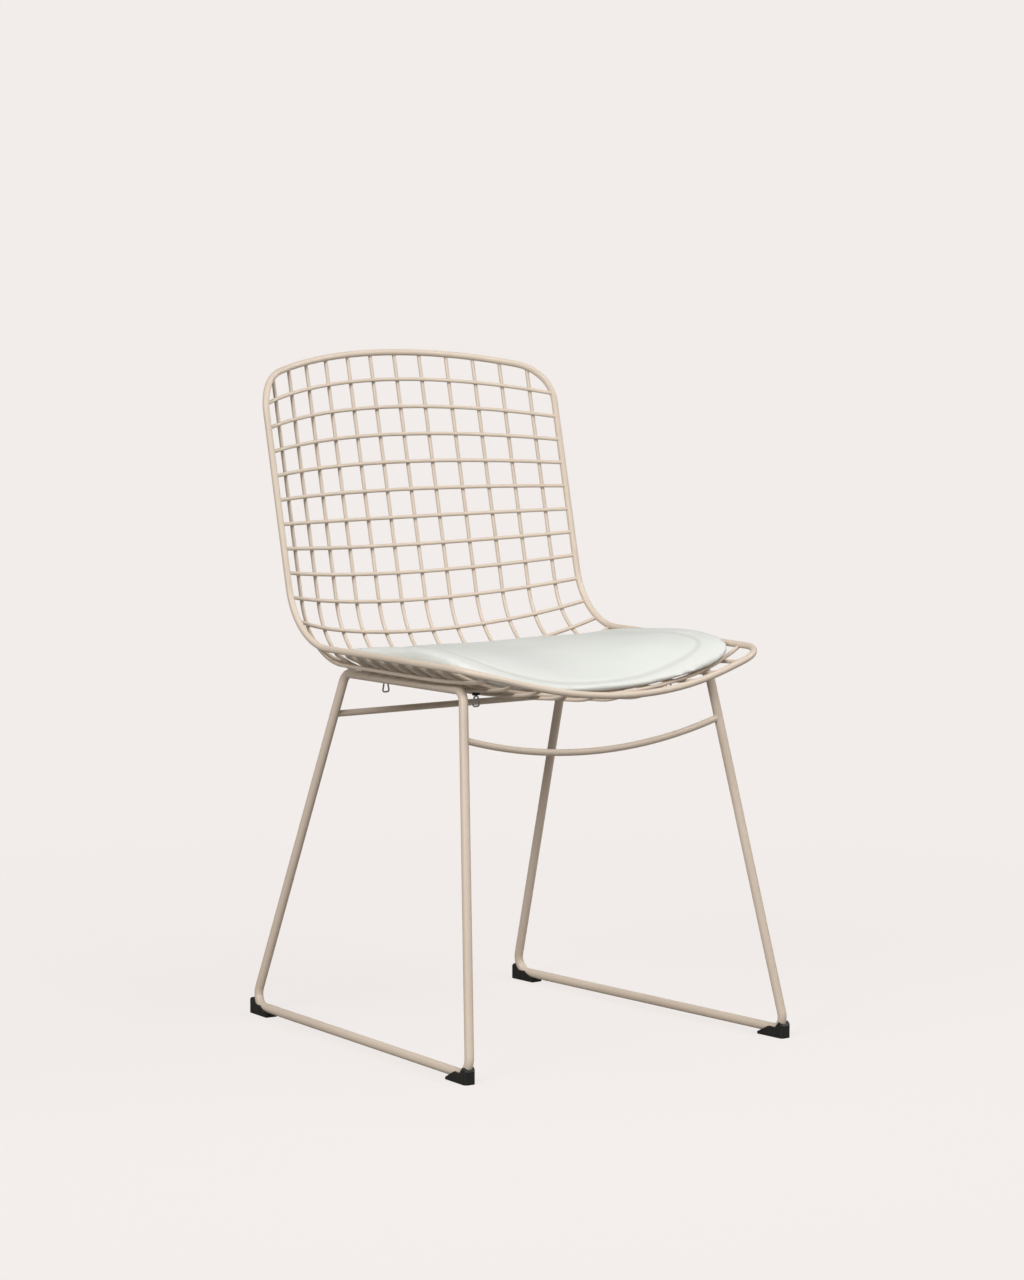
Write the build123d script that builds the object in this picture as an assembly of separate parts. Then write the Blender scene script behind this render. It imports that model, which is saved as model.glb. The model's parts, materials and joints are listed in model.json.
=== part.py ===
from build123d import *
import os
from math import atan2, cos, pi, radians, sin, tan

# Wire dining chair: a welded rod shell on a sled base, with a hooked-on seat pad.
# Millimetres. +Z up, the sitter faces -Y, the chair is symmetric about X = 0 and stands on Z = 0.
# The shell is a bowed sheet of wires. Its centre line and its edge line are both a straight back, a round
# bend and a level seat; every cross wire is a three-arc bow from the centre line out to the edge line.

# Rods and wires
RIM_D = 8.0
WIRE_D = 4.6
FRAME_D = 11.0
STRETCHER_D = 8.0
WELD_SET = 0.25            # how far two welded rods sink into each other

# Shell, side view
BACK_LEAN = 13.0           # degrees from upright
TOP_CENTRE = (260.5, 814.5)   # y, z where the centre line meets the top rim
TOP_EDGE = (199.4, 787.6)     # y, z where the edge line meets the top corner
CENTRE_BEND_R = 108.0
EDGE_BEND_R = 80.0
RIM_BEND_R = 86.0
RIM_BACK_SET = 2.0         # the rim runs this far behind the cross wires of the back
RIM_SEAT_RISE = 1.5        # and this far above those of the seat
CENTRE_SEAT_Z = 425.0
EDGE_SEAT_Z = 470.5
FRONT_CENTRE = (-262.6, 432.2)   # y, z of the front rim at the middle
FRONT_EDGE_Y = -235.9
UPTURN_Y = -97.0           # the middle of the seat starts to rise to the front rim here

# Shell, across
HALF_WIDTH = 216.0         # rim axis
KNEE_X = 130.0             # the flat middle arc of a bow ends here
BACK_KNEE_SHARE = 0.343    # share of a bow's depth reached at the knee, on the back
SEAT_KNEE_SHARE = 0.23     # on the seat
FRONT_KNEE_SHARE = 0.39    # and at the front rim
RIM_CORNER = 39.0          # length of rim taken up by each rounded corner, from the virtual corner
LONG_WIRE_X = (18.0, 53.7, 90.3, 125.0, 158.2, 190.5)

# Shell, rows of cross wires: row 0 is the top rim and the last row is the front rim
ROWS = 22
CENTRE_BACK_ROWS = 9.0
CENTRE_BEND_ROWS = 3.55
EDGE_BACK_ROWS = 8.85
EDGE_BEND_ROWS = 3.5
CENTRE_BAY = 60.0          # from the last cross wire to the front rim
EDGE_BAY = 50.0
MID_BACK_ROW = 4.0
MID_SEAT_ROW = 16.0
KICK_ROW = 21.3            # the long wires turn up into the front rim from here

# Sled base, right half: x, y of each bend at rail or runner height
RUNNER_Z = 10.0
REAR_FOOT = (199.8, 253.0)
FRONT_FOOT = (232.3, -258.4)
REAR_RAIL = (165.5, 97.3)
FRONT_RAIL = (180.0, -171.7)
FRAME_BEND_R = 17.0
STRETCHER_Z = 385.0
FRONT_STRETCHER_BOW = 26.0

# Glides
GLIDE_W = 15.0
GLIDE_LENGTH = 42.0        # along the runner, from the bend's corner
GLIDE_NOSE = 2.0           # past the corner
GLIDE_H = 12.5
GLIDE_TOE_H = 3.0          # height left at the inner end
GLIDE_SLOPE = 19.0         # length of the slanted toe
GLIDE_EAR_H = 20.0
GLIDE_EAR_X = (4.0, 11.0)  # tip and foot of the pointed ears, from the corner
GLIDE_HEEL_H = 15.0
GLIDE_FIT = 0.1
GLIDE_ROUND = 4.0

# Seat pad
PAD_CLEAR = 0.5            # above the cross wires
COVER_T = 1.5
FOAM_FIT = 0.4
PAD_BULGE = 3.0
# stations from the front: y, gap to the seat's side, lift of the underside, middle and seam thickness
PAD_STATIONS = (
    (-204.0, 96.0, 2.0, 10.0, 7.0),
    (-194.0, 50.0, 2.5, 20.0, 13.0),
    (-169.0, 26.0, 2.5, 33.0, 19.0),
    (-107.0, 18.0, 1.0, 42.0, 22.0),
    (13.0, 18.0, 1.0, 42.0, 22.0),
    (78.0, 30.0, 3.0, 38.0, 16.0),
    (110.0, 64.0, 6.0, 27.0, 11.0),
    (123.0, 98.0, 10.0, 15.0, 8.0),
)

# Pad tabs and hooks
HOOK_WIRE_D = 2.0
HOOK_H = 12.0              # wire axis, top to bottom
HOOK_TOP_W = 5.0
HOOK_LOW_W = 9.6
HOOK_BEND_R = 2.3
TAB_W = 10.0
TAB_T = 1.6
TAB_DROP = 1.0             # below the underside of the long wires
HOOK_X = 141.5             # midway between two long wires
HOOK_ROWS = (13.5, 19.3)   # clear of the cross wires

WIRE_R = WIRE_D / 2
RIM_R = RIM_D / 2
FRAME_R = FRAME_D / 2
LAYER = WIRE_D - WELD_SET              # long wires lie this far outside the cross wires
LEAN = radians(BACK_LEAN)
TURN = pi / 2 - LEAN
DOWN = (-sin(LEAN), -cos(LEAN))
INWARD = (-cos(LEAN), sin(LEAN))


def bend_corner(top, seat_z):
    """Point where the leaning back line through top meets the level seat line."""
    return (top[0] - (top[1] - seat_z) * tan(LEAN), seat_z)


def profile(top, seat_z, radius, back_rows, bend_rows, bay, front):
    """Side line as a function of the row number: back line, bend arc, seat line and a rising front arc."""
    corner = bend_corner(top, seat_z)
    tangent = radius * tan(TURN / 2)
    back = (top[1] - seat_z) / cos(LEAN) - tangent
    arc_end = corner[0] - tangent
    centre = (arc_end, seat_z + radius)
    rise = front[1] - seat_z
    run = UPTURN_Y - front[0]
    front_r = (run**2 + rise**2) / (2 * rise) if rise else 0.0
    front_arc = front_r * atan2(run, front_r - rise) if rise else run
    seat = arc_end - UPTURN_Y
    seat_rows = ROWS - 1 - back_rows - bend_rows
    spaced = seat + front_arc - bay

    def point(row):
        if row <= back_rows:
            along = back * row / back_rows
            return (top[0] + DOWN[0] * along, top[1] + DOWN[1] * along)
        if row <= back_rows + bend_rows:
            angle = LEAN + TURN * (row - back_rows) / bend_rows
            return (centre[0] + radius * cos(angle), centre[1] - radius * sin(angle))
        past = row - back_rows - bend_rows
        along = spaced * past / seat_rows if past <= seat_rows else spaced + bay * (past - seat_rows)
        if along <= seat or not rise:
            return (arc_end - along, seat_z)
        angle = (along - seat) / front_r
        return (UPTURN_Y - front_r * sin(angle), seat_z + front_r * (1 - cos(angle)))

    return point


FRONT_EDGE = (FRONT_EDGE_Y, EDGE_SEAT_Z)
CENTRE_ROWS = (CENTRE_BACK_ROWS, CENTRE_BEND_ROWS, CENTRE_BAY)
EDGE_ROWS = (EDGE_BACK_ROWS, EDGE_BEND_ROWS, EDGE_BAY)
centre_line = profile(TOP_CENTRE, CENTRE_SEAT_Z, CENTRE_BEND_R, *CENTRE_ROWS, FRONT_CENTRE)
edge_line = profile(TOP_EDGE, EDGE_SEAT_Z, EDGE_BEND_R, *EDGE_ROWS, FRONT_EDGE)


def at(x, side):
    return Vector(x, side[0], side[1])


def mix(a, b, share):
    """Point between two y, z pairs."""
    return (a[0] + (b[0] - a[0]) * share, a[1] + (b[1] - a[1]) * share)


def knee_share(row):
    """Share of a bow's depth at its knee: the back's, the seat's past the bend, and the front rim's."""
    turned = min(max((row - CENTRE_BACK_ROWS) / CENTRE_BEND_ROWS, 0.0), 1.0)
    risen = max(UPTURN_Y - centre_line(row)[0], 0.0) / (UPTURN_Y - FRONT_CENTRE[0])
    seat = SEAT_KNEE_SHARE + (FRONT_KNEE_SHARE - SEAT_KNEE_SHARE) * risen**2
    return BACK_KNEE_SHARE + (seat - BACK_KNEE_SHARE) * turned


def bow(row, shift=Vector(0, 0, 0)):
    """Right half of a cross bow: middle arc from X = 0 to the knee, then the tangent end arc to the edge."""
    c = centre_line(row)
    e = edge_line(row)
    knee = mix(c, e, knee_share(row))
    middle = ThreePointArc(at(-KNEE_X, knee) + shift, at(0, c) + shift, at(KNEE_X, knee) + shift)
    end = TangentArc(middle @ 1, at(HALF_WIDTH, e) + shift, tangent=middle % 1)
    return middle.trim(0.5, 1.0), end


def bow_share(x, row):
    """Share of a bow's depth reached at x, and the slope angle there."""
    c = centre_line(row)
    depth = (at(0, edge_line(row)) - at(0, c)).length
    knee = depth * knee_share(row)
    radius = (KNEE_X**2 + knee**2) / (2 * knee)
    if x <= KNEE_X:
        height = radius - (radius**2 - x**2) ** 0.5
        return height / depth, atan2(x, radius - height)
    end = bow(row)[1]
    spot = cut_where(end, lambda p: p.X > x)
    point = end @ spot
    slope = end % spot
    return (point - at(point.X, c)).length / depth, atan2((slope - Vector(slope.X, 0, 0)).length, slope.X)


def cut_where(edge, past):
    """Parameter along an edge at which past(point) turns true."""
    low, high = 0.0, 1.0
    for _ in range(40):
        middle = (low + high) / 2
        if past(edge @ middle):
            high = middle
        else:
            low = middle
    return high


def abeam(edge, rim, low, high):
    """Parameter along an edge, between low and high, that comes nearest to the rim's axis."""
    for _ in range(40):
        third = (high - low) / 3
        if rim.distance_to(edge @ (low + third)) < rim.distance_to(edge @ (high - third)):
            high -= third
        else:
            low += third
    return (low + high) / 2


def biarc(p0, t0, p1, t1):
    """Two tangent arcs from p0 heading t0 to p1 heading t1."""
    gap = p1 - p0
    both = t0 + t1
    spread = 2 * (1 - t0.dot(t1))
    reach = ((gap.dot(both) ** 2 + spread * gap.dot(gap)) ** 0.5 - gap.dot(both)) / spread
    joint = (p0 + p1 + (t0 - t1) * reach) / 2
    first = TangentArc(p0, joint, tangent=t0)
    return [first, TangentArc(joint, p1, tangent=first % 1)]


def rod(path, diameter):
    """Round bar along a path."""
    start = Plane(origin=path @ 0, z_dir=path % 0)
    return sweep(start * Circle(diameter / 2), path=path)


def mirrored(shape):
    return mirror(shape, about=Plane.YZ)


def rim_side():
    """Edge line of the rim on the right: back, bend and seat, stopping short of the two corners."""
    top = (TOP_EDGE[0] - INWARD[0] * RIM_BACK_SET, TOP_EDGE[1] - INWARD[1] * RIM_BACK_SET)
    seat_z = EDGE_SEAT_Z + RIM_SEAT_RISE
    corner = bend_corner(top, seat_z)
    start = at(HALF_WIDTH, (top[0] + DOWN[0] * RIM_CORNER, top[1] + DOWN[1] * RIM_CORNER))
    end = at(HALF_WIDTH, (FRONT_EDGE_Y + RIM_CORNER, seat_z))
    return FilletPolyline(start, at(HALF_WIDTH, corner), end, radius=RIM_BEND_R)


def rim_path():
    """Right half of the rim, from the middle of the top to the middle of the front."""
    side = rim_side()
    top_middle, top_end = bow(0, at(0, INWARD) * -RIM_BACK_SET)
    front_middle, front_end = bow(ROWS, Vector(0, 0, RIM_SEAT_RISE))
    stop = HALF_WIDTH - RIM_CORNER
    top_end = top_end.trim(0, cut_where(top_end, lambda p: p.X > stop))
    front_end = front_end.trim(0, cut_where(front_end, lambda p: p.X > stop))
    top_corner = biarc(top_end @ 1, top_end % 1, side @ 0, side % 0)
    front_corner = biarc(side @ 1, side % 1, front_end @ 1, (front_end % 1) * -1)
    front = [front_end.reversed(), front_middle.reversed()]
    return Wire([top_middle, top_end, *top_corner, *side.edges(), *front_corner, *front])


def long_wire(x, rim, rim_rod):
    """Long wire in the plane of one x, outside the cross wires, with both ends coped to the rim."""
    back_share, slope = bow_share(x, MID_BACK_ROW)
    drop = LAYER / cos(slope)
    top = mix(TOP_CENTRE, TOP_EDGE, back_share)
    top = (top[0] - INWARD[0] * drop, top[1] - INWARD[1] * drop)
    share, slope = bow_share(x, MID_SEAT_ROW)
    drop = LAYER / cos(slope)
    seat_z = CENTRE_SEAT_Z + (EDGE_SEAT_Z - CENTRE_SEAT_Z) * share - drop
    front = mix(FRONT_CENTRE, FRONT_EDGE, bow_share(x, ROWS)[0])
    radius = CENTRE_BEND_R + (EDGE_BEND_R - CENTRE_BEND_R) * (back_share + share) / 2 + drop
    corner = bend_corner(top, seat_z)
    line = FilletPolyline(at(x, top), at(x, corner), at(x, (UPTURN_Y, seat_z)), radius=radius)
    rise = TangentArc(line @ 1, at(x, (front[0], front[1] - drop)), tangent=line % 1)
    kick_y = mix(centre_line(KICK_ROW), edge_line(KICK_ROW), bow_share(x, KICK_ROW)[0])[0]
    rise = rise.trim(0.0, cut_where(rise, lambda p: p.Y < kick_y))
    kick = TangentArc(rise @ 1, at(x, (front[0], front[1] + RIM_SEAT_RISE)), tangent=rise % 1)
    back, bend, seat = line.edges()
    back = back.trim(abeam(back, rim, 0.0, 0.3), 1.0)
    return rod(Wire([back, bend, seat, rise, kick]), WIRE_D) - rim_rod


def cross_wire(row, rim, rim_rod):
    """Cross wire: its bow, with both ends coped to sit on the rim."""
    middle, end = bow(row)
    end = end.trim(0, cut_where(end, lambda p: rim.distance_to(p) < 0.65 * RIM_R))
    half = rod(Wire([middle, end]), WIRE_D) - rim_rod
    return half + mirrored(half)


def rail_z(x):
    """Height of a rail axis that touches the cross wires from below at x."""
    share, slope = bow_share(x, MID_SEAT_ROW)
    drop = (WIRE_R + FRAME_R - WELD_SET) / cos(slope)
    return CENTRE_SEAT_Z + (EDGE_SEAT_Z - CENTRE_SEAT_Z) * share - drop


def frame_points():
    """Corners of the right side frame: rear foot, rear rail end, front rail end, front foot."""
    rear_foot = Vector(*REAR_FOOT, RUNNER_Z)
    front_foot = Vector(*FRONT_FOOT, RUNNER_Z)
    rear_rail = Vector(*REAR_RAIL, rail_z(REAR_RAIL[0]))
    front_rail = Vector(*FRONT_RAIL, rail_z(FRONT_RAIL[0]))
    return rear_foot, rear_rail, front_rail, front_foot


def side_frame():
    """Right side frame: a bent rod from mid rail round the front and a second half round the rear."""
    rear_foot, rear_rail, front_rail, front_foot = frame_points()
    mid_rail = (rear_rail + front_rail) / 2
    mid_runner = (rear_foot + front_foot) / 2
    front = FilletPolyline(mid_rail, front_rail, front_foot, mid_runner, radius=FRAME_BEND_R)
    rear = FilletPolyline(mid_runner, rear_foot, rear_rail, mid_rail, radius=FRAME_BEND_R)
    return rod(front, FRAME_D) + rod(rear, FRAME_D)


def leg_point(foot, rail, z):
    return foot + (rail - foot) * ((z - foot.Z) / (rail.Z - foot.Z))


def stretcher(foot, rail, sag, frame):
    """Rod between the two legs of a pair, hanging down by sag in the middle, its ends coped to the legs."""
    hold = leg_point(foot, rail, STRETCHER_Z)
    end = hold - Vector(FRAME_R / 2, 0, 0)
    start = Vector(-end.X, end.Y, end.Z)
    path = ThreePointArc(start, Vector(0, end.Y, end.Z - sag), end) if sag else Line(start, end)
    return rod(path, STRETCHER_D) - frame - mirrored(frame)


def glide(foot, other_foot, rail):
    """Clip-on glide: a trough under the runner's end, with a slanted toe and two ears beside the leg."""
    along = (other_foot - foot).normalized()
    frame = Plane(origin=Vector(foot.X, foot.Y, 0), x_dir=along, z_dir=(0, 0, 1))
    side = Polyline(
        (-GLIDE_NOSE, 0),
        (GLIDE_LENGTH, 0),
        (GLIDE_LENGTH, GLIDE_TOE_H),
        (GLIDE_LENGTH - GLIDE_SLOPE, GLIDE_H),
        (GLIDE_EAR_X[1], GLIDE_H),
        (GLIDE_EAR_X[0], GLIDE_EAR_H),
        (-GLIDE_NOSE, GLIDE_HEEL_H),
        close=True,
    )
    body = extrude(Plane.XZ * make_face(side), amount=GLIDE_W / 2, both=True)
    body = fillet(body.edges().filter_by(Axis.Z).group_by(Axis.X)[0], GLIDE_ROUND)
    runner_end = foot + along * (2 * GLIDE_LENGTH)
    path = FilletPolyline(runner_end, foot, leg_point(foot, rail, 3 * GLIDE_EAR_H), radius=FRAME_BEND_R)
    return frame * body - rod(path, FRAME_D + 2 * GLIDE_FIT)


def seat_height(x, y):
    """Height of the cross wires' axis over the seat at x, y."""
    row_low, row_high = CENTRE_BACK_ROWS, float(ROWS)
    for _ in range(24):
        row = (row_low + row_high) / 2
        spot = mix(centre_line(row), edge_line(row), bow_share(abs(x), row)[0])
        if spot[0] > y:
            row_low = row
        else:
            row_high = row
    return spot[1]


def pad_section(station, inset):
    """Closed outline across the pad: arched underside, bulged sides and crowned top, drawn in by inset."""
    y, side_gap, lift, middle_t, seam_t = station
    half = HALF_WIDTH - side_gap
    floor = WIRE_R + PAD_CLEAR + lift + inset
    low_middle = seat_height(0, y) + floor
    low_edge = seat_height(half, y) + floor
    top_middle = low_middle + middle_t - 2 * inset
    top_edge = low_edge + seam_t - 2 * inset
    x = half - inset
    outline = [
        ThreePointArc((-x, y, low_edge), (0, y, low_middle), (x, y, low_edge)),
        ThreePointArc((x, y, low_edge), (x + PAD_BULGE, y, (low_edge + top_edge) / 2), (x, y, top_edge)),
        ThreePointArc((x, y, top_edge), (0, y, top_middle), (-x, y, top_edge)),
        ThreePointArc((-x, y, top_edge), (-x - PAD_BULGE, y, (low_edge + top_edge) / 2), (-x, y, low_edge)),
    ]
    return make_face(outline)


def pad_form(inset):
    """Cushion lofted through its stations; the end stations move in by the inset."""
    first, last = PAD_STATIONS[0], PAD_STATIONS[-1]
    ends = ((first[0] + inset, *first[1:]), (last[0] - inset, *last[1:]))
    stations = (ends[0], *PAD_STATIONS[1:-1], ends[1])
    return loft([pad_section(station, inset) for station in stations])


def hook_spot(row):
    """y and underside height of the long wires at a hook."""
    share, slope = bow_share(HOOK_X, row)
    y, z = mix(centre_line(row), edge_line(row), share)
    return y, z - LAYER / cos(slope) - WIRE_R


def pad_tab(row, pad):
    """Elastic tab from the pad's underside down through the mesh."""
    y, z = hook_spot(row)
    bottom = z - TAB_DROP
    top = seat_height(HOOK_X, y) + TAB_W
    return Pos(HOOK_X, y, (bottom + top) / 2) * Box(TAB_W, TAB_T, top - bottom) - pad


def pad_hook(row):
    """Bent wire hook hanging from a tab: a closed ring, narrow at the top and round at the bottom."""
    y, z = hook_spot(row)
    top = z - TAB_DROP - HOOK_WIRE_D / 2
    bottom = top - HOOK_H
    corners = ((0, top), (HOOK_TOP_W / 2, top), (HOOK_LOW_W / 2, bottom), (0, bottom))
    points = [(HOOK_X + x, y, level) for x, level in corners]
    half = rod(FilletPolyline(*points, radius=HOOK_BEND_R), HOOK_WIRE_D)
    return half + mirror(half, about=Plane.YZ.offset(HOOK_X))


def four(make):
    """One piece per hook place, on both sides."""
    right = [make(row) for row in HOOK_ROWS]
    return Compound(children=[*right, *[mirrored(piece) for piece in right]])


def build():
    """All pieces by node name."""
    pieces = {}
    half_rim = rim_path()
    rim = rod(half_rim, RIM_D)
    pieces["rim_wire"] = rim + mirrored(rim)
    count = len(LONG_WIRE_X)
    for index, x in enumerate(LONG_WIRE_X):
        wire = long_wire(x, half_rim, rim)
        pieces[f"long_wire_{count + 1 + index:02d}"] = wire
        pieces[f"long_wire_{count - index:02d}"] = mirrored(wire)
    for row in range(1, ROWS):
        pieces[f"cross_wire_{row:02d}"] = cross_wire(row, half_rim, rim)
    rear_foot, rear_rail, front_rail, front_foot = frame_points()
    frame = side_frame()
    pieces["right_side_frame"] = frame
    pieces["left_side_frame"] = mirrored(frame)
    pieces["rear_stretcher"] = stretcher(rear_foot, rear_rail, 0.0, frame)
    pieces["front_stretcher"] = stretcher(front_foot, front_rail, FRONT_STRETCHER_BOW, frame)
    front_glide = glide(front_foot, rear_foot, front_rail)
    rear_glide = glide(rear_foot, front_foot, rear_rail)
    for end, piece in (("front", front_glide), ("rear", rear_glide)):
        pieces[f"{end}_right_glide"] = piece
        pieces[f"{end}_left_glide"] = mirrored(piece)
    pad = pad_form(0.0)
    hollow = pad_form(COVER_T)
    pieces["pad_cover"] = pad - hollow
    pieces["pad_foam_core"] = pad_form(COVER_T + FOAM_FIT) & hollow
    pieces["pad_tabs"] = four(lambda row: pad_tab(row, pad))
    pieces["pad_hooks"] = four(pad_hook)
    return pieces


os.makedirs("parts", exist_ok=True)
for name, piece in build().items():
    export_step(piece, f"parts/{name}.step")
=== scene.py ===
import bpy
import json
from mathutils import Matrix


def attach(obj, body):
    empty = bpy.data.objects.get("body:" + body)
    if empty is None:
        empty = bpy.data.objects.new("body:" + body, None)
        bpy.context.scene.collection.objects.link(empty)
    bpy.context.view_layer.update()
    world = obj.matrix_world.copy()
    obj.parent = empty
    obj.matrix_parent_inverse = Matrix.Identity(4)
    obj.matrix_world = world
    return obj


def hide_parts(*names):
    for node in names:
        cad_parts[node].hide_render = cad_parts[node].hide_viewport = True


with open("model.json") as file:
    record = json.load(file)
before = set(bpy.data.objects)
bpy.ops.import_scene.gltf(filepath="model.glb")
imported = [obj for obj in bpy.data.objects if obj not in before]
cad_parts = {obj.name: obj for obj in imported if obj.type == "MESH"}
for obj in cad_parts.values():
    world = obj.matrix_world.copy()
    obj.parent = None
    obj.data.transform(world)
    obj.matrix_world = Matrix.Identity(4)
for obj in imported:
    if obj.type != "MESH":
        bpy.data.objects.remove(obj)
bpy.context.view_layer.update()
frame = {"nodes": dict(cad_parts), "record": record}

import json
import math

import bpy
import numpy as np
from mathutils import Vector

# The photograph's viewpoint, in metres and degrees
CAMERA_PLACE = (-3.0102, -4.2276, 1.0311)
CAMERA_AZIMUTH = -35.56
CAMERA_ELEVATION = 6.12
CAMERA_LENS = 121.19

# The dished seat under the pad, in metres
SEAT_HALF = 0.216
SEAT_KNEE = 0.130
KNEE_SHARE = 0.23
FRONT_KNEE_SHARE = 0.39
MIDDLE_LEVEL = 0.4250
EDGE_LEVEL = 0.4705
UPTURN_Y = -0.0970
UPTURN_RUN = 0.1656
UPTURN_RADIUS = 1.908
MIDDLE_BEND_Y = 0.0847
MIDDLE_BEND_RADIUS = 0.108
EDGE_BEND_Y = 0.0626
EDGE_BEND_RADIUS = 0.080
BEND_REACH = 0.95                  # share of a bend's radius that the seat lines follow
WIRE_RADIUS = 0.0023

# The seat pad
PAD_MIDDLE_Y = -0.0405
PAD_HALF_LENGTH = 0.1650
PAD_HALF_WIDTH = 0.2005
PAD_DRAW = 0.018                   # share by which the sides pull in between the corners
PAD_FRONT_SQUARENESS = 9.0
PAD_REAR_SQUARENESS = 3.2
PAD_CROWN = 0.0415
PAD_SIDE_EDGE = 0.0240
PAD_SIDE_REAR_EDGE = 0.0095
PAD_FRONT_EDGE = 0.0085
PAD_REAR_EDGE = 0.0075
PAD_SIDE_POWER = 5.5               # how late the thickness falls away towards the sides
PAD_SIDE_REAR_POWER = 2.7
PAD_FRONT_POWER = 2.0
PAD_REAR_POWER = 4.2
PAD_CLEARANCE = 0.0018
PAD_REAR_LIFT = 0.0045
PAD_BULGE = 0.0045
PAD_FOLD_SIDE = (0.170, -0.110)    # where the fold across a front corner meets the side
PAD_FOLD_FRONT = (0.0, -0.204)     # and where it meets the front
PAD_FOLD_DROP = 0.11
PAD_FOLD_SOFT = 0.004
PAD_TAPER_MIDDLE = 0.45            # share of the sides' rear thinning at the pad's middle
PAD_TAPER_RATE = 0.9               # and its growth over half the length
PAD_LIFT_POWER = 8                 # how late the rear lifts towards its edge
PAD_VOXEL = 0.004
PAD_PRESSURE = 4.0
PAD_STIFFNESS = 2.0
PAD_SWELL = 0.006                  # farthest that the cloth moves
SWELL_STEPS = 20
EVEN_SHARE = 0.5                   # how far each smoothing step goes
EVEN_STEPS = 6
SEAM_SIDE_INSET = 0.034
SEAM_END_INSET = 0.007
SEAM_DEPTH = 0.0011
SEAM_WIDTH = 0.0048
UNDERSIDE_FACING = -0.5            # upward part of the normal, under which cloth is held
SEAM_FACING = 0.1                  # and over which the seam shows
BLOCK_POINTS = 4000                # points measured to the seam at a time

# Finishes, as sRGB bytes
COAT_PALE = (219, 203, 185)
COAT_DEEP = (212, 195, 177)
GLIDE_FACE = (20, 20, 19)
GLIDE_SCUFF = (38, 37, 35)
PAD_PALE = (224, 225, 220)
PAD_DEEP = (219, 221, 215)
# Painted shade: the darker colour put down in the seam's groove
SEAM_PAINTED_SHADE = (170, 170, 162)
FOAM_PALE = (236, 230, 208)
FOAM_DEEP = (206, 198, 172)
TAB_DARK = (34, 32, 30)
TAB_RIB = (58, 54, 50)
PLATE_BRIGHT = (214, 214, 216)
PLATE_DULL = (190, 190, 193)
NOISE_RANGE = (0.3, 0.7)           # where most values of a noise lie
PORE_SHARE = 0.25                  # share of the fine noise in the leatherette's relief

# Studio
BACKGROUND = (242, 237, 234)
FLOOR_BOUNCE = (150, 146, 142)     # what the floor gives back to the chair
FLOOR_SHADE = 0.13                 # share of the floor's tone that shadows can take away
FLOOR_HALF = 6.0
FLOOR_FADE = (0.6, 1.6)            # distances between which the floor fades out
SKY_LIGHT = (0.07, 0.44)           # strength low down and overhead
SKY_RISE = (-0.5, 1.0)             # upward parts of the direction at those strengths
SOFTBOX_SIZE = 1.6
SOFTBOX_TARGET = (0, 0, 0.45)
SOFTBOXES = {                      # place and watts of each
    "key": ((-3.5, -1.7, 2.6), 122),
    "front": ((0.6, -2.7, 3.2), 58),
    "side": ((3.1, -0.9, 2.2), 35),
}


def linear(red, green, blue):
    """Linear colour of an sRGB byte triple."""
    share = np.array((red, green, blue)) / 255
    value = np.where(share <= 0.04045, share / 12.92, ((share + 0.055) / 1.055) ** 2.4)
    return (*[float(v) for v in value], 1.0)


def put(tree, kind, settings=(), **inputs):
    """New node with its settings; each input is a value or a socket to link."""
    made = tree.nodes.new(kind)
    for name, value in dict(settings).items():
        setattr(made, name, value)
    for name, value in inputs.items():
        join(tree, value, made.inputs[name.replace("_", " ")])
    return made


def join(tree, value, socket):
    """Sets a socket to a value, or links another socket to it."""
    if isinstance(value, bpy.types.NodeSocket):
        tree.links.new(value, socket)
    else:
        socket.default_value = value


def blend_colour(tree, share, first, second):
    """Colour between two colours."""
    made = tree.nodes.new("ShaderNodeMix")
    made.data_type = "RGBA"
    join(tree, share, made.inputs[0])
    join(tree, first, made.inputs[6])
    join(tree, second, made.inputs[7])
    return made.outputs[2]


def span(tree, value, low, high, start=0.0, stop=1.0):
    """Value carried from start-stop to low-high, and held at both ends."""
    ranges = {"From_Min": start, "From_Max": stop, "To_Min": low, "To_Max": high}
    return put(tree, "ShaderNodeMapRange", Value=value, **ranges).outputs[0]


def make_group(name, inputs, outputs):
    """Empty shader group with named value sockets; returns its tree, input node and output node."""
    tree = bpy.data.node_groups.new(name, "ShaderNodeTree")
    for label, default in inputs.items():
        socket = tree.interface.new_socket(label, in_out="INPUT", socket_type="NodeSocketFloat")
        socket.default_value = default
    for label in outputs:
        tree.interface.new_socket(label, in_out="OUTPUT", socket_type="NodeSocketFloat")
    return tree, tree.nodes.new("NodeGroupInput"), tree.nodes.new("NodeGroupOutput")


def make_coating_grain():
    """Fine skin texture of a coated or moulded surface, and slow drift of its tone over the piece."""
    scales = {"Fine Scale": 900.0, "Drift Scale": 9.0}
    tree, given, out = make_group("coating_grain", scales, ("Fine", "Drift"))
    place = put(tree, "ShaderNodeTexCoord").outputs["Object"]
    fine = put(tree, "ShaderNodeTexNoise", Vector=place, Scale=given.outputs["Fine Scale"], Detail=2.0)
    drift = put(tree, "ShaderNodeTexNoise", Vector=place, Scale=given.outputs["Drift Scale"], Detail=3.0)
    tree.links.new(fine.outputs[0], out.inputs["Fine"])
    tree.links.new(drift.outputs[0], out.inputs["Drift"])
    return tree


def place_group(tree, group, **inputs):
    """A group placed in a material with its own values."""
    made = tree.nodes.new("ShaderNodeGroup")
    made.node_tree = group
    for name, value in inputs.items():
        join(tree, value, made.inputs[name.replace("_", " ")])
    return made


def new_material(name):
    """Node material with a Principled shader; returns the material, its tree and the shader."""
    material = bpy.data.materials.new(name)
    material.use_nodes = True
    tree = material.node_tree
    return material, tree, tree.nodes["Principled BSDF"]


def bump(tree, shader, height, distance, strength=1.0):
    """Relief of a height in metres on a shader's normal."""
    made = put(tree, "ShaderNodeBump", Height=height, Distance=distance, Strength=strength)
    tree.links.new(made.outputs[0], shader.inputs["Normal"])


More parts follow.
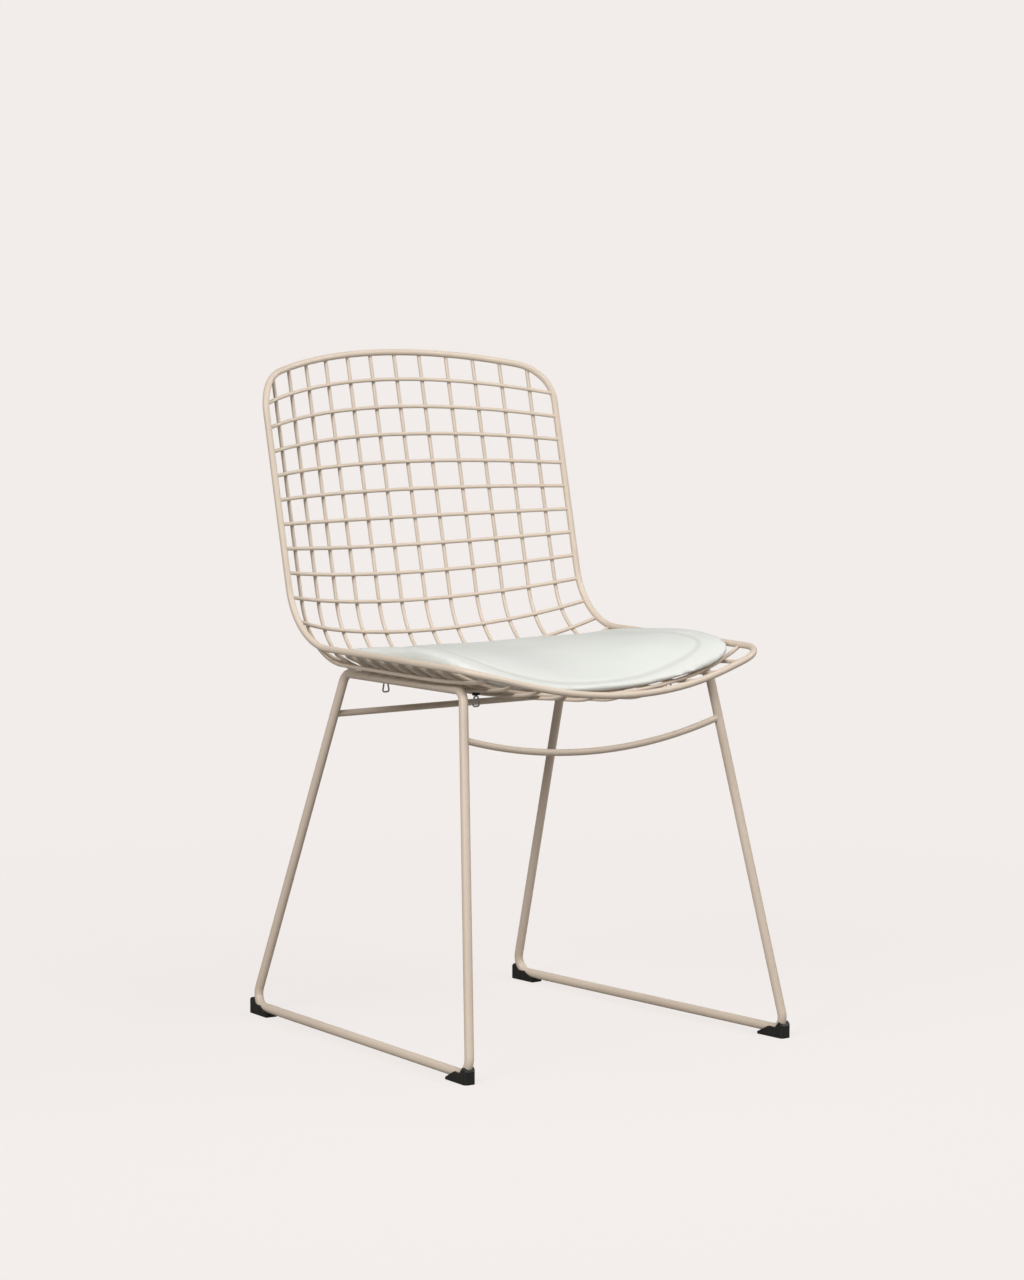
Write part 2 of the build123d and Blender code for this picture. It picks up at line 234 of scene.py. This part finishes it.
def make_powder_coat(grain):
    """Beige satin powder coat: faint orange peel, and slight drift of tone and gloss."""
    material, tree, shader = new_material("powder_coat")
    skin = place_group(tree, grain, Fine_Scale=700.0, Drift_Scale=7.0)
    drift = span(tree, skin.outputs["Drift"], 0.0, 1.0, *NOISE_RANGE)
    colour = blend_colour(tree, drift, linear(*COAT_PALE), linear(*COAT_DEEP))
    join(tree, colour, shader.inputs["Base Color"])
    join(tree, span(tree, skin.outputs["Fine"], 0.34, 0.46, *NOISE_RANGE), shader.inputs["Roughness"])
    shader.inputs["Specular IOR Level"].default_value = 0.45
    bump(tree, shader, skin.outputs["Fine"], distance=0.00008, strength=0.5)
    return material


def make_glide_black(grain):
    """Black moulded plastic with a fine matt texture and a little scuffing."""
    material, tree, shader = new_material("glide_black")
    skin = place_group(tree, grain, Fine_Scale=1800.0, Drift_Scale=120.0)
    scuff = span(tree, skin.outputs["Drift"], 0.0, 1.0, start=0.55, stop=0.75)
    colour = blend_colour(tree, scuff, linear(*GLIDE_FACE), linear(*GLIDE_SCUFF))
    join(tree, colour, shader.inputs["Base Color"])
    join(tree, span(tree, skin.outputs["Fine"], 0.42, 0.6, *NOISE_RANGE), shader.inputs["Roughness"])
    bump(tree, shader, skin.outputs["Fine"], distance=0.00006, strength=0.6)
    return material


def make_leatherette(grain):
    """Pale leatherette: pebbled grain of shallow cells, softer between them, with painted shade darkening it
    down in the seam.
    """
    material, tree, shader = new_material("pad_leatherette")
    place = put(tree, "ShaderNodeTexCoord").outputs["Object"]
    smooth = {"feature": "SMOOTH_F1"}
    cells = put(tree, "ShaderNodeTexVoronoi", smooth, Vector=place, Scale=620.0, Smoothness=0.6)
    skin = place_group(tree, grain, Fine_Scale=1500.0, Drift_Scale=14.0)
    seam = put(tree, "ShaderNodeAttribute", {"attribute_name": "seam"}).outputs["Fac"]
    drift = span(tree, skin.outputs["Drift"], 0.0, 1.0, *NOISE_RANGE)
    face = blend_colour(tree, drift, linear(*PAD_PALE), linear(*PAD_DEEP))
    # Painted shade: the seam groove's weight darkens the colour towards the painted seam shade
    sunk = blend_colour(tree, span(tree, seam, 0.0, 0.3, start=0.4), face, linear(*SEAM_PAINTED_SHADE))
    join(tree, sunk, shader.inputs["Base Color"])
    join(tree, span(tree, cells.outputs["Distance"], 0.40, 0.56), shader.inputs["Roughness"])
    relief = put(tree, "ShaderNodeMath", {"operation": "MULTIPLY_ADD"})
    join(tree, skin.outputs["Fine"], relief.inputs[0])
    relief.inputs[1].default_value = PORE_SHARE
    join(tree, cells.outputs["Distance"], relief.inputs[2])
    bump(tree, shader, relief.outputs[0], distance=0.00018, strength=0.6)
    return material


def make_pad_foam(grain):
    """Cream open-cell foam."""
    material, tree, shader = new_material("pad_foam")
    skin = place_group(tree, grain, Fine_Scale=1100.0, Drift_Scale=30.0)
    colour = blend_colour(tree, skin.outputs["Fine"], linear(*FOAM_PALE), linear(*FOAM_DEEP))
    join(tree, colour, shader.inputs["Base Color"])
    join(tree, span(tree, skin.outputs["Drift"], 0.8, 1.0), shader.inputs["Roughness"])
    bump(tree, shader, skin.outputs["Fine"], distance=0.0004)
    return material


def make_tab_webbing(grain):
    """Dark woven elastic: fine ribs along the tab."""
    material, tree, shader = new_material("tab_webbing")
    place = put(tree, "ShaderNodeTexCoord").outputs["Object"]
    across = {"bands_direction": "X"}
    ribs = put(tree, "ShaderNodeTexWave", across, Vector=place, Scale=260.0, Distortion=0.6)
    skin = place_group(tree, grain, Fine_Scale=2400.0, Drift_Scale=60.0)
    colour = blend_colour(tree, ribs.outputs["Fac"], linear(*TAB_DARK), linear(*TAB_RIB))
    join(tree, colour, shader.inputs["Base Color"])
    join(tree, span(tree, skin.outputs["Fine"], 0.7, 0.95), shader.inputs["Roughness"])
    bump(tree, shader, ribs.outputs["Fac"], distance=0.0003)
    return material


def make_hook_chrome(grain):
    """Bright plated wire with faint handling marks."""
    material, tree, shader = new_material("hook_chrome")
    skin = place_group(tree, grain, Fine_Scale=1300.0, Drift_Scale=150.0)
    colour = blend_colour(tree, skin.outputs["Drift"], linear(*PLATE_BRIGHT), linear(*PLATE_DULL))
    join(tree, colour, shader.inputs["Base Color"])
    gloss = span(tree, skin.outputs["Drift"], 0.12, 0.26, start=0.35, stop=0.7)
    join(tree, gloss, shader.inputs["Roughness"])
    shader.inputs["Metallic"].default_value = 1.0
    bump(tree, shader, skin.outputs["Fine"], distance=0.00003, strength=0.4)
    return material


def seat_line(y, level, upturn_radius, bend_y, bend_radius):
    """Height of a seat line at y: level, then rising on a circle past the upturn and into the back."""
    front = np.clip(UPTURN_Y - y, 0.0, None)
    rear = np.clip(y - bend_y, 0.0, BEND_REACH * bend_radius)
    rise = upturn_radius - np.sqrt(upturn_radius**2 - front**2) if upturn_radius else 0.0
    return level + rise + bend_radius - np.sqrt(bend_radius**2 - rear**2)


def bow_share(across, knee_share):
    """Share of a bow's depth: the square of x up to the knee, then a steeper tangent parabola."""
    slope = 2 * knee_share / SEAT_KNEE
    run = SEAT_HALF - SEAT_KNEE
    steep = (1 - knee_share - slope * run) / run**2
    past = across - SEAT_KNEE
    outer = knee_share + slope * past + steep * past**2
    return np.where(past < 0, knee_share * (across / SEAT_KNEE) ** 2, outer)


def seat_height(x, y):
    """Height of the cross wires over the seat: from the middle line to the edge line by the bow's share."""
    risen = np.clip((UPTURN_Y - y) / UPTURN_RUN, 0.0, 1.0) ** 2
    share = bow_share(np.abs(x), KNEE_SHARE + (FRONT_KNEE_SHARE - KNEE_SHARE) * risen)
    middle = seat_line(y, MIDDLE_LEVEL, UPTURN_RADIUS, MIDDLE_BEND_Y, MIDDLE_BEND_RADIUS)
    edge = seat_line(y, EDGE_LEVEL, 0.0, EDGE_BEND_Y, EDGE_BEND_RADIUS)
    return middle + (edge - middle) * share


def pad_outline(turn):
    """Plan of the pad as a superellipse, squarer at the front: offsets from its middle for each plan angle.

    Each direction is divided by the power mean of its two parts, so it ends on the outline. A squared cosine
    of the doubled angle then pulls the sides in between the corners.
    """
    c, s = np.cos(turn), np.sin(turn)
    power = np.where(s < 0, PAD_FRONT_SQUARENESS, PAD_REAR_SQUARENESS)
    stretch = (np.abs(c) ** power + np.abs(s) ** power) ** (1 / power)
    drawn = (1 - PAD_DRAW * np.cos(2 * turn) ** 2) / stretch
    return PAD_HALF_WIDTH * drawn * c, PAD_HALF_LENGTH * drawn * s


def corner_drop(x, y):
    """Drop of the pad's top past the fold across a front corner: a soft ramp of the distance to the fold."""
    along = np.subtract(PAD_FOLD_SIDE, PAD_FOLD_FRONT)
    outward = np.array((along[1], -along[0])) / np.hypot(*along)
    past = outward[0] * (np.abs(x) - PAD_FOLD_SIDE[0]) + outward[1] * (y - PAD_FOLD_SIDE[1])
    return PAD_FOLD_DROP * PAD_FOLD_SOFT * np.logaddexp(0, past / PAD_FOLD_SOFT)


def pad_faces(turn, out):
    """Plan place, underside and top height of the pad at a plan angle and a share of the way out.

    The underside follows the seat wires and lifts a little at the rear. The thickness falls from the crown
    to the edge as one minus a power of the share. At the sides it falls late and to a deep edge, which thins
    towards the rear; at the front it falls early and to a thin edge. Past the fold it drops further.
    """
    dx, dy = pad_outline(turn)
    x, y = out * dx, PAD_MIDDLE_Y + out * dy
    across = np.abs(dx) / PAD_HALF_WIDTH
    back = np.clip(PAD_TAPER_MIDDLE + PAD_TAPER_RATE * dy / PAD_HALF_LENGTH, 0, 1)
    end_edge = np.where(dy < 0, PAD_FRONT_EDGE, PAD_REAR_EDGE)
    side_edge = PAD_SIDE_EDGE + (PAD_SIDE_REAR_EDGE - PAD_SIDE_EDGE) * back
    edge = end_edge + (side_edge - end_edge) * across**2
    end_power = np.where(dy < 0, PAD_FRONT_POWER, PAD_REAR_POWER)
    side_power = PAD_SIDE_POWER + (PAD_SIDE_REAR_POWER - PAD_SIDE_POWER) * back
    power = end_power + (side_power - end_power) * across**2
    lift = PAD_REAR_LIFT * np.clip(dy / PAD_HALF_LENGTH, 0, None) ** 2 * out**PAD_LIFT_POWER
    under = seat_height(x, y) + WIRE_RADIUS + PAD_CLEARANCE + lift
    thickness = edge + (PAD_CROWN - edge) * (1 - out**power) - corner_drop(x, y)
    return x, y, under, under + thickness


def pad_form(turns=288, rings=44, band=9):
    """Closed pad surface: top from its middle out, a bulged side band, and the underside back in."""
    turn = np.linspace(0, 2 * np.pi, turns, endpoint=False)[None, :]
    out = (np.arange(1, rings + 1) / rings)[:, None]
    x, y, under, top = pad_faces(turn, out)
    dx, dy = pad_outline(turn)
    reach = np.hypot(dx, dy)
    angle = np.linspace(np.pi / 2, -np.pi / 2, band + 2)[1:-1, None]
    proud = 1 + PAD_BULGE * np.cos(angle) / reach
    height = under[-1] + (top[-1] - under[-1]) * (1 + np.sin(angle)) / 2
    side = np.stack([proud * dx, PAD_MIDDLE_Y + proud * dy, height], -1)
    upper = np.stack([x, y, top], -1)
    lower = np.stack([x, y, under], -1)[::-1]
    grid = np.concatenate([upper, side, lower])
    poles = [[0, PAD_MIDDLE_Y, f[0, 0]] for f in pad_faces(turn[:, :1], np.zeros((1, 1)))[3:1:-1]]
    return grid, np.array(poles)


def closed_mesh(name, grid, poles):
    """Mesh of a ring grid closed by a pole at each end: quads between rings and fans at the poles."""
    rings, turns = grid.shape[:2]
    index = np.arange(rings * turns).reshape(rings, turns)
    after = np.roll(index, -1, axis=1)
    quads = np.stack([index[:-1], index[1:], after[1:], after[:-1]], -1).reshape(-1, 4)
    first, last = rings * turns, rings * turns + 1
    caps = [np.stack([np.full(turns, first), index[0], after[0]], -1)]
    caps.append(np.stack([np.full(turns, last), after[-1], index[-1]], -1))
    points = np.concatenate([grid.reshape(-1, 3), poles])
    mesh = bpy.data.meshes.new(name)
    mesh.from_pydata(points.tolist(), [], [*quads.tolist(), *np.concatenate(caps).tolist()])
    mesh.update()
    return mesh


def add_object(name, mesh):
    """Object of a mesh, linked to the scene."""
    made = bpy.data.objects.new(name, mesh)
    bpy.context.scene.collection.objects.link(made)
    return made


def evaluated_mesh(source):
    """Mesh of an object with its modifiers applied."""
    bpy.context.view_layer.update()
    graph = bpy.context.evaluated_depsgraph_get()
    return bpy.data.meshes.new_from_object(source.evaluated_get(graph))


def points_of(mesh):
    """Vertex places as an array."""
    flat = np.empty(len(mesh.vertices) * 3, np.float32)
    mesh.vertices.foreach_get("co", flat)
    return flat.reshape(-1, 3).astype(float)


def normals_of(mesh):
    """Vertex normals as an array."""
    flat = np.empty(len(mesh.vertices) * 3, np.float32)
    mesh.vertex_normals.foreach_get("vector", flat)
    return flat.reshape(-1, 3).astype(float)


def seam_line(turns=720):
    """Seam of the top panel: the outline drawn in on the top, far at the sides and little at the ends."""
    turn = np.linspace(0, 2 * np.pi, turns, endpoint=False)
    dx, dy = pad_outline(turn)
    inset = SEAM_END_INSET + (SEAM_SIDE_INSET - SEAM_END_INSET) * (dx / PAD_HALF_WIDTH) ** 2
    x, y, _, top = pad_faces(turn, 1 - inset / np.hypot(dx, dy))
    return np.stack([x, y, top], -1)


def distance_to(points, line):
    """Plan distance of each point to the nearest point of a line, in blocks."""
    blocks = np.array_split(points, max(1, len(points) // BLOCK_POINTS))
    gaps = (block[:, None, :2] - line[None, :, :2] for block in blocks)
    return np.concatenate([np.hypot(*gap.transpose(2, 0, 1)).min(1) for gap in gaps])


def swell(pad):
    """Blows the pad up as cloth held at its seam and underside, each point moving by the swell at most."""
    mesh = pad.data
    start = points_of(mesh)
    up = normals_of(mesh)[:, 2]
    on_seam = (distance_to(start, seam_line()) < PAD_VOXEL) & (up > 0)
    held = np.flatnonzero(on_seam | (up < UNDERSIDE_FACING))
    pad.vertex_groups.new(name="held").add(held.tolist(), 1.0, "REPLACE")
    cloth = pad.modifiers.new("cloth", "CLOTH")
    cloth.settings.vertex_group_mass = "held"
    cloth.settings.use_pressure = True
    cloth.settings.uniform_pressure_force = PAD_PRESSURE
    cloth.settings.effector_weights.gravity = 0.0
    cloth.settings.bending_stiffness = PAD_STIFFNESS
    cloth.point_cache.frame_start = 1
    cloth.point_cache.frame_end = SWELL_STEPS
    for step in range(1, SWELL_STEPS + 1):
        bpy.context.scene.frame_set(step)
    moved = points_of(evaluated_mesh(pad)) - start
    length = np.linalg.norm(moved, axis=1, keepdims=True)
    moved *= np.minimum(1.0, PAD_SWELL / np.maximum(length, 1e-9))
    pad.modifiers.clear()
    pad.vertex_groups.clear()
    bpy.context.scene.frame_set(1)
    mesh.vertices.foreach_set("co", (start + moved).astype(np.float32).ravel())
    mesh.update()


def sew(mesh):
    """Sinks the seam: a bell-shaped groove along the seam line, its weight kept as an attribute that paints
    shade into the groove.
    """
    place = points_of(mesh)
    normal = normals_of(mesh)
    depth = np.exp(-((distance_to(place, seam_line()) / SEAM_WIDTH) ** 2)) * (normal[:, 2] > SEAM_FACING)
    sunk = place - normal * depth[:, None] * SEAM_DEPTH
    mesh.vertices.foreach_set("co", sunk.astype(np.float32).ravel())
    # The groove's weight, which the leatherette reads to paint shade into the seam
    mesh.attributes.new("seam", "FLOAT", "POINT").data.foreach_set("value", depth.astype(np.float32))
    mesh.update()


def make_pad(finish):
    """Seat pad: remeshed, blown up as cloth, evened out, subdivided once and then sewn."""
    raw = add_object("pad_raw", closed_mesh("pad_raw", *pad_form()))
    remesh = raw.modifiers.new("remesh", "REMESH")
    remesh.mode = "VOXEL"
    remesh.voxel_size = PAD_VOXEL
    pad = add_object("seat_pad", evaluated_mesh(raw))
    bpy.data.objects.remove(raw)
    swell(pad)
    even = pad.modifiers.new("even", "SMOOTH")
    even.factor = EVEN_SHARE
    even.iterations = EVEN_STEPS
    finer = pad.modifiers.new("finer", "SUBSURF")
    finer.levels = finer.render_levels = 1
    mesh = evaluated_mesh(pad)
    pad.modifiers.clear()
    pad.data = mesh
    sew(mesh)
    mesh.shade_smooth()
    mesh.materials.clear()
    mesh.materials.append(finish)
    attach(pad, "seat_pad")
    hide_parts("pad_cover", "pad_foam_core")
    return pad


def make_finishes():
    """Every finish by the record's slot name."""
    grain = make_coating_grain()
    makers = {
        "powder_coat": make_powder_coat,
        "glide_black": make_glide_black,
        "pad_leatherette": make_leatherette,
        "pad_foam": make_pad_foam,
        "tab_webbing": make_tab_webbing,
        "hook_chrome": make_hook_chrome,
    }
    return {slot: make(grain) for slot, make in makers.items()}


def finish_nodes(finishes):
    """Gives each carried-over piece the finish of its slot."""
    for subpart in frame["record"]["subparts"]:
        mesh = frame["nodes"][subpart["node"]].data
        mesh.materials.clear()
        mesh.materials.append(finishes[subpart["material_slot"]])


def make_floor():
    """Pale floor that keeps the chair's shadow and fades into the background away from it."""
    corners = [(FLOOR_HALF * x, FLOOR_HALF * y, 0) for x, y in ((-1, -1), (1, -1), (1, 1), (-1, 1))]
    mesh = bpy.data.meshes.new("floor")
    mesh.from_pydata(corners, [], [(0, 1, 2, 3)])
    floor = add_object("floor", mesh)
    material, tree, shader = new_material("floor_paint")
    place = put(tree, "ShaderNodeTexCoord").outputs["Object"]
    away = put(tree, "ShaderNodeVectorMath", {"operation": "LENGTH"})
    tree.links.new(place, away.inputs[0])
    seen = put(tree, "ShaderNodeLightPath").outputs["Is Camera Ray"]
    pale = linear(*BACKGROUND)
    lit = [FLOOR_SHADE * value for value in pale[:3]] + [1.0]
    join(tree, blend_colour(tree, seen, linear(*FLOOR_BOUNCE), lit), shader.inputs["Base Color"])
    shader.inputs["Emission Color"].default_value = pale
    join(tree, span(tree, seen, 0.0, 1.0 - FLOOR_SHADE), shader.inputs["Emission Strength"])
    shader.inputs["Roughness"].default_value = 0.9
    shader.inputs["Specular IOR Level"].default_value = 0.0
    join(tree, span(tree, away.outputs["Value"], 1.0, 0.0, *FLOOR_FADE), shader.inputs["Alpha"])
    mesh.materials.append(material)


def make_world():
    """Even studio light, brighter from above; the camera sees the plain background."""
    world = bpy.data.worlds.new("studio")
    bpy.context.scene.world = world
    world.use_nodes = True
    tree = world.node_tree
    tree.nodes.clear()
    path = put(tree, "ShaderNodeLightPath")
    direction = put(tree, "ShaderNodeTexCoord").outputs["Generated"]
    upward = put(tree, "ShaderNodeSeparateXYZ", Vector=direction).outputs["Z"]
    strength = span(tree, upward, *SKY_LIGHT, *SKY_RISE)
    light = put(tree, "ShaderNodeBackground", Color=(1, 1, 1, 1), Strength=strength)
    plain = put(tree, "ShaderNodeBackground", Color=linear(*BACKGROUND), Strength=1.0)
    seen = put(tree, "ShaderNodeMath", {"operation": "MAXIMUM"})
    tree.links.new(path.outputs["Is Camera Ray"], seen.inputs[0])
    tree.links.new(path.outputs["Is Transmission Ray"], seen.inputs[1])
    either = put(tree, "ShaderNodeMixShader")
    tree.links.new(seen.outputs[0], either.inputs[0])
    tree.links.new(light.outputs[0], either.inputs[1])
    tree.links.new(plain.outputs[0], either.inputs[2])
    out = tree.nodes.new("ShaderNodeOutputWorld")
    tree.links.new(either.outputs[0], out.inputs["Surface"])


def aim(lamp, place, target):
    """Puts a lamp or camera at a place, turned to a target."""
    lamp.location = place
    lamp.rotation_mode = "QUATERNION"
    lamp.rotation_quaternion = (Vector(target) - Vector(place)).to_track_quat("-Z", "Y")


def add_softbox(name, place, power):
    """Square area lamp turned to the seat."""
    data = bpy.data.lights.new(name, "AREA")
    data.shape = "SQUARE"
    data.size = SOFTBOX_SIZE
    data.energy = power
    lamp = bpy.data.objects.new(name, data)
    bpy.context.scene.collection.objects.link(lamp)
    aim(lamp, place, SOFTBOX_TARGET)


def add_camera():
    """Camera at the photograph's viewpoint."""
    data = bpy.data.cameras.new("camera")
    data.lens = CAMERA_LENS
    camera = bpy.data.objects.new("camera", data)
    bpy.context.scene.collection.objects.link(camera)
    bpy.context.scene.camera = camera
    turn, tilt = math.radians(CAMERA_AZIMUTH), math.radians(CAMERA_ELEVATION)
    ahead = Vector((-math.sin(turn) * math.cos(tilt), math.cos(turn) * math.cos(tilt), -math.sin(tilt)))
    aim(camera, CAMERA_PLACE, Vector(CAMERA_PLACE) + ahead)


finishes = make_finishes()
finish_nodes(finishes)
make_pad(finishes["pad_leatherette"])
make_floor()
make_world()
for name, (place, power) in SOFTBOXES.items():
    add_softbox(name, place, power)
add_camera()
bpy.context.scene.view_settings.view_transform = "Standard"
